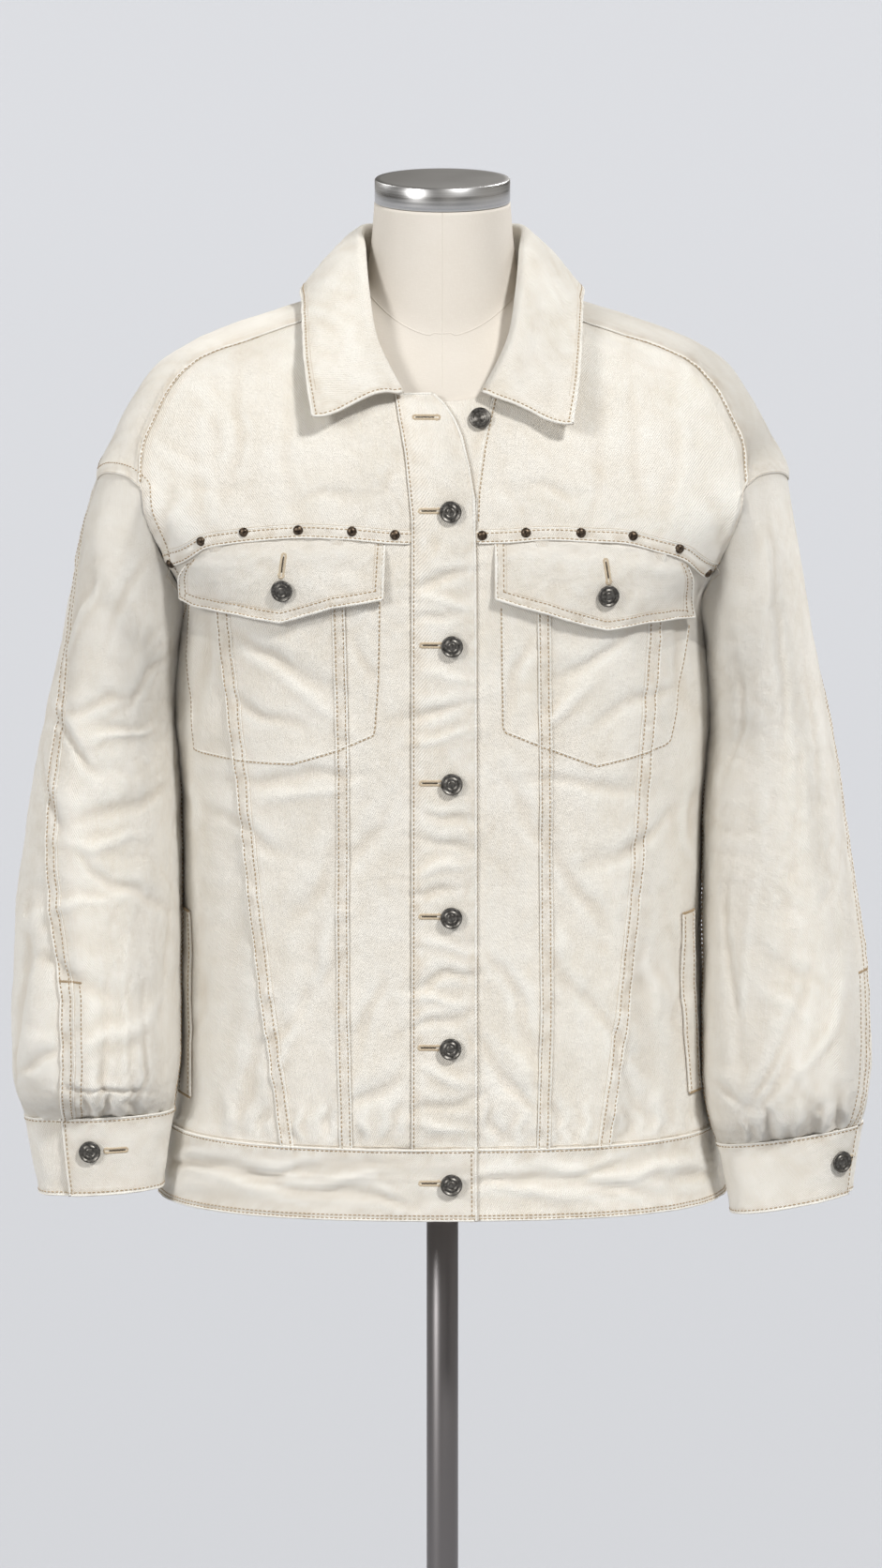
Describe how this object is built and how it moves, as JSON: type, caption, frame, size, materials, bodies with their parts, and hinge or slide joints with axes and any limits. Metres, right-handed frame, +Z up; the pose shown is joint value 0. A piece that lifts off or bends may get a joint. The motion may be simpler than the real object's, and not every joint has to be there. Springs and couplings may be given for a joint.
{
  "type": "denim jacket on a limbless dress form and pole stand",
  "caption": "Cream oversized denim trucker jacket, buttoned, with flap pockets and domed studs, worn by a limbless dress form on a steel pole stand.",
  "frame": {"origin": "centre of the underside of the stand's round base", "axes": "+Z up along the pole, -Y towards the front of the jacket, +X towards the viewer's right when facing its front"},
  "size_m": [0.6735, 0.36, 1.49],
  "materials": {
    "denim": "matt woven cotton twill",
    "pewter": "antique pewter plating",
    "bronze": "dark antique bronze",
    "canvas": "smooth woven cotton",
    "steel": "brushed",
    "dark_steel": "dark polished"
  },
  "bodies": {
    "root": {"front_yoke_left": "denim", "centre_front_left": "denim", "middle_front_left": "denim", "side_front_left": "denim", "upper_sleeve_left": "denim", "under_sleeve_left": "denim", "cuff_left": "denim", "pocket_flap_left": "denim", "pocket_welt_left": "denim", "flap_button_left": "pewter", "cuff_button_left": "pewter", "front_yoke_right": "denim", "centre_front_right": "denim", "middle_front_right": "denim", "side_front_right": "denim", "upper_sleeve_right": "denim", "under_sleeve_right": "denim", "cuff_right": "denim", "pocket_flap_right": "denim", "pocket_welt_right": "denim", "flap_button_right": "pewter", "cuff_button_right": "pewter", "back_yoke": "denim", "back_panel": "denim", "hem_band": "denim", "placket": "denim", "underlap": "denim", "collar": "denim", "front_button_1": "pewter", "front_button_2": "pewter", "front_button_3": "pewter", "front_button_4": "pewter", "front_button_5": "pewter", "front_button_6": "pewter", "front_button_7": "pewter", "stud_1": "bronze", "stud_2": "bronze", "stud_3": "bronze", "stud_4": "bronze", "stud_5": "bronze", "stud_6": "bronze", "stud_7": "bronze", "stud_8": "bronze", "stud_9": "bronze", "stud_10": "bronze", "stud_11": "bronze", "stud_12": "bronze", "form": "canvas", "neck_cap": "steel", "pole": "dark_steel", "base": "dark_steel"}
  },
  "joints": []
}
